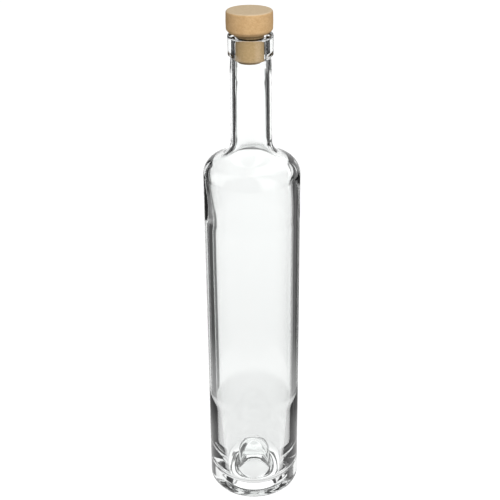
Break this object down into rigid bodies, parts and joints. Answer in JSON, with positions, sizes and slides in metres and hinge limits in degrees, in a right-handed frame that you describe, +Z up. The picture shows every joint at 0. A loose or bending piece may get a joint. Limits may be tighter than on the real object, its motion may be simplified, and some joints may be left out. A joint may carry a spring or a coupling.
{
  "type": "glass bottle with cork",
  "caption": "Slim round clear glass bottle with a long neck, a collar at the mouth and a punt, closed by a mushroom cork.",
  "frame": {"origin": "on the bottle's axis, in the plane that it stands on", "axes": "+Z up along the bottle's axis, from the base to the cork; +Y is the way that the crooked cork leans, -X the side that it stands towards, and the bottle itself is round"},
  "size_m": [0.06, 0.06, 0.3367],
  "materials": {
    "clear_glass": "clear polished glass",
    "cork": "fine-grained natural cork, matt"
  },
  "bodies": {
    "root": {"bottle": "clear_glass", "cork": "cork"}
  },
  "joints": []
}
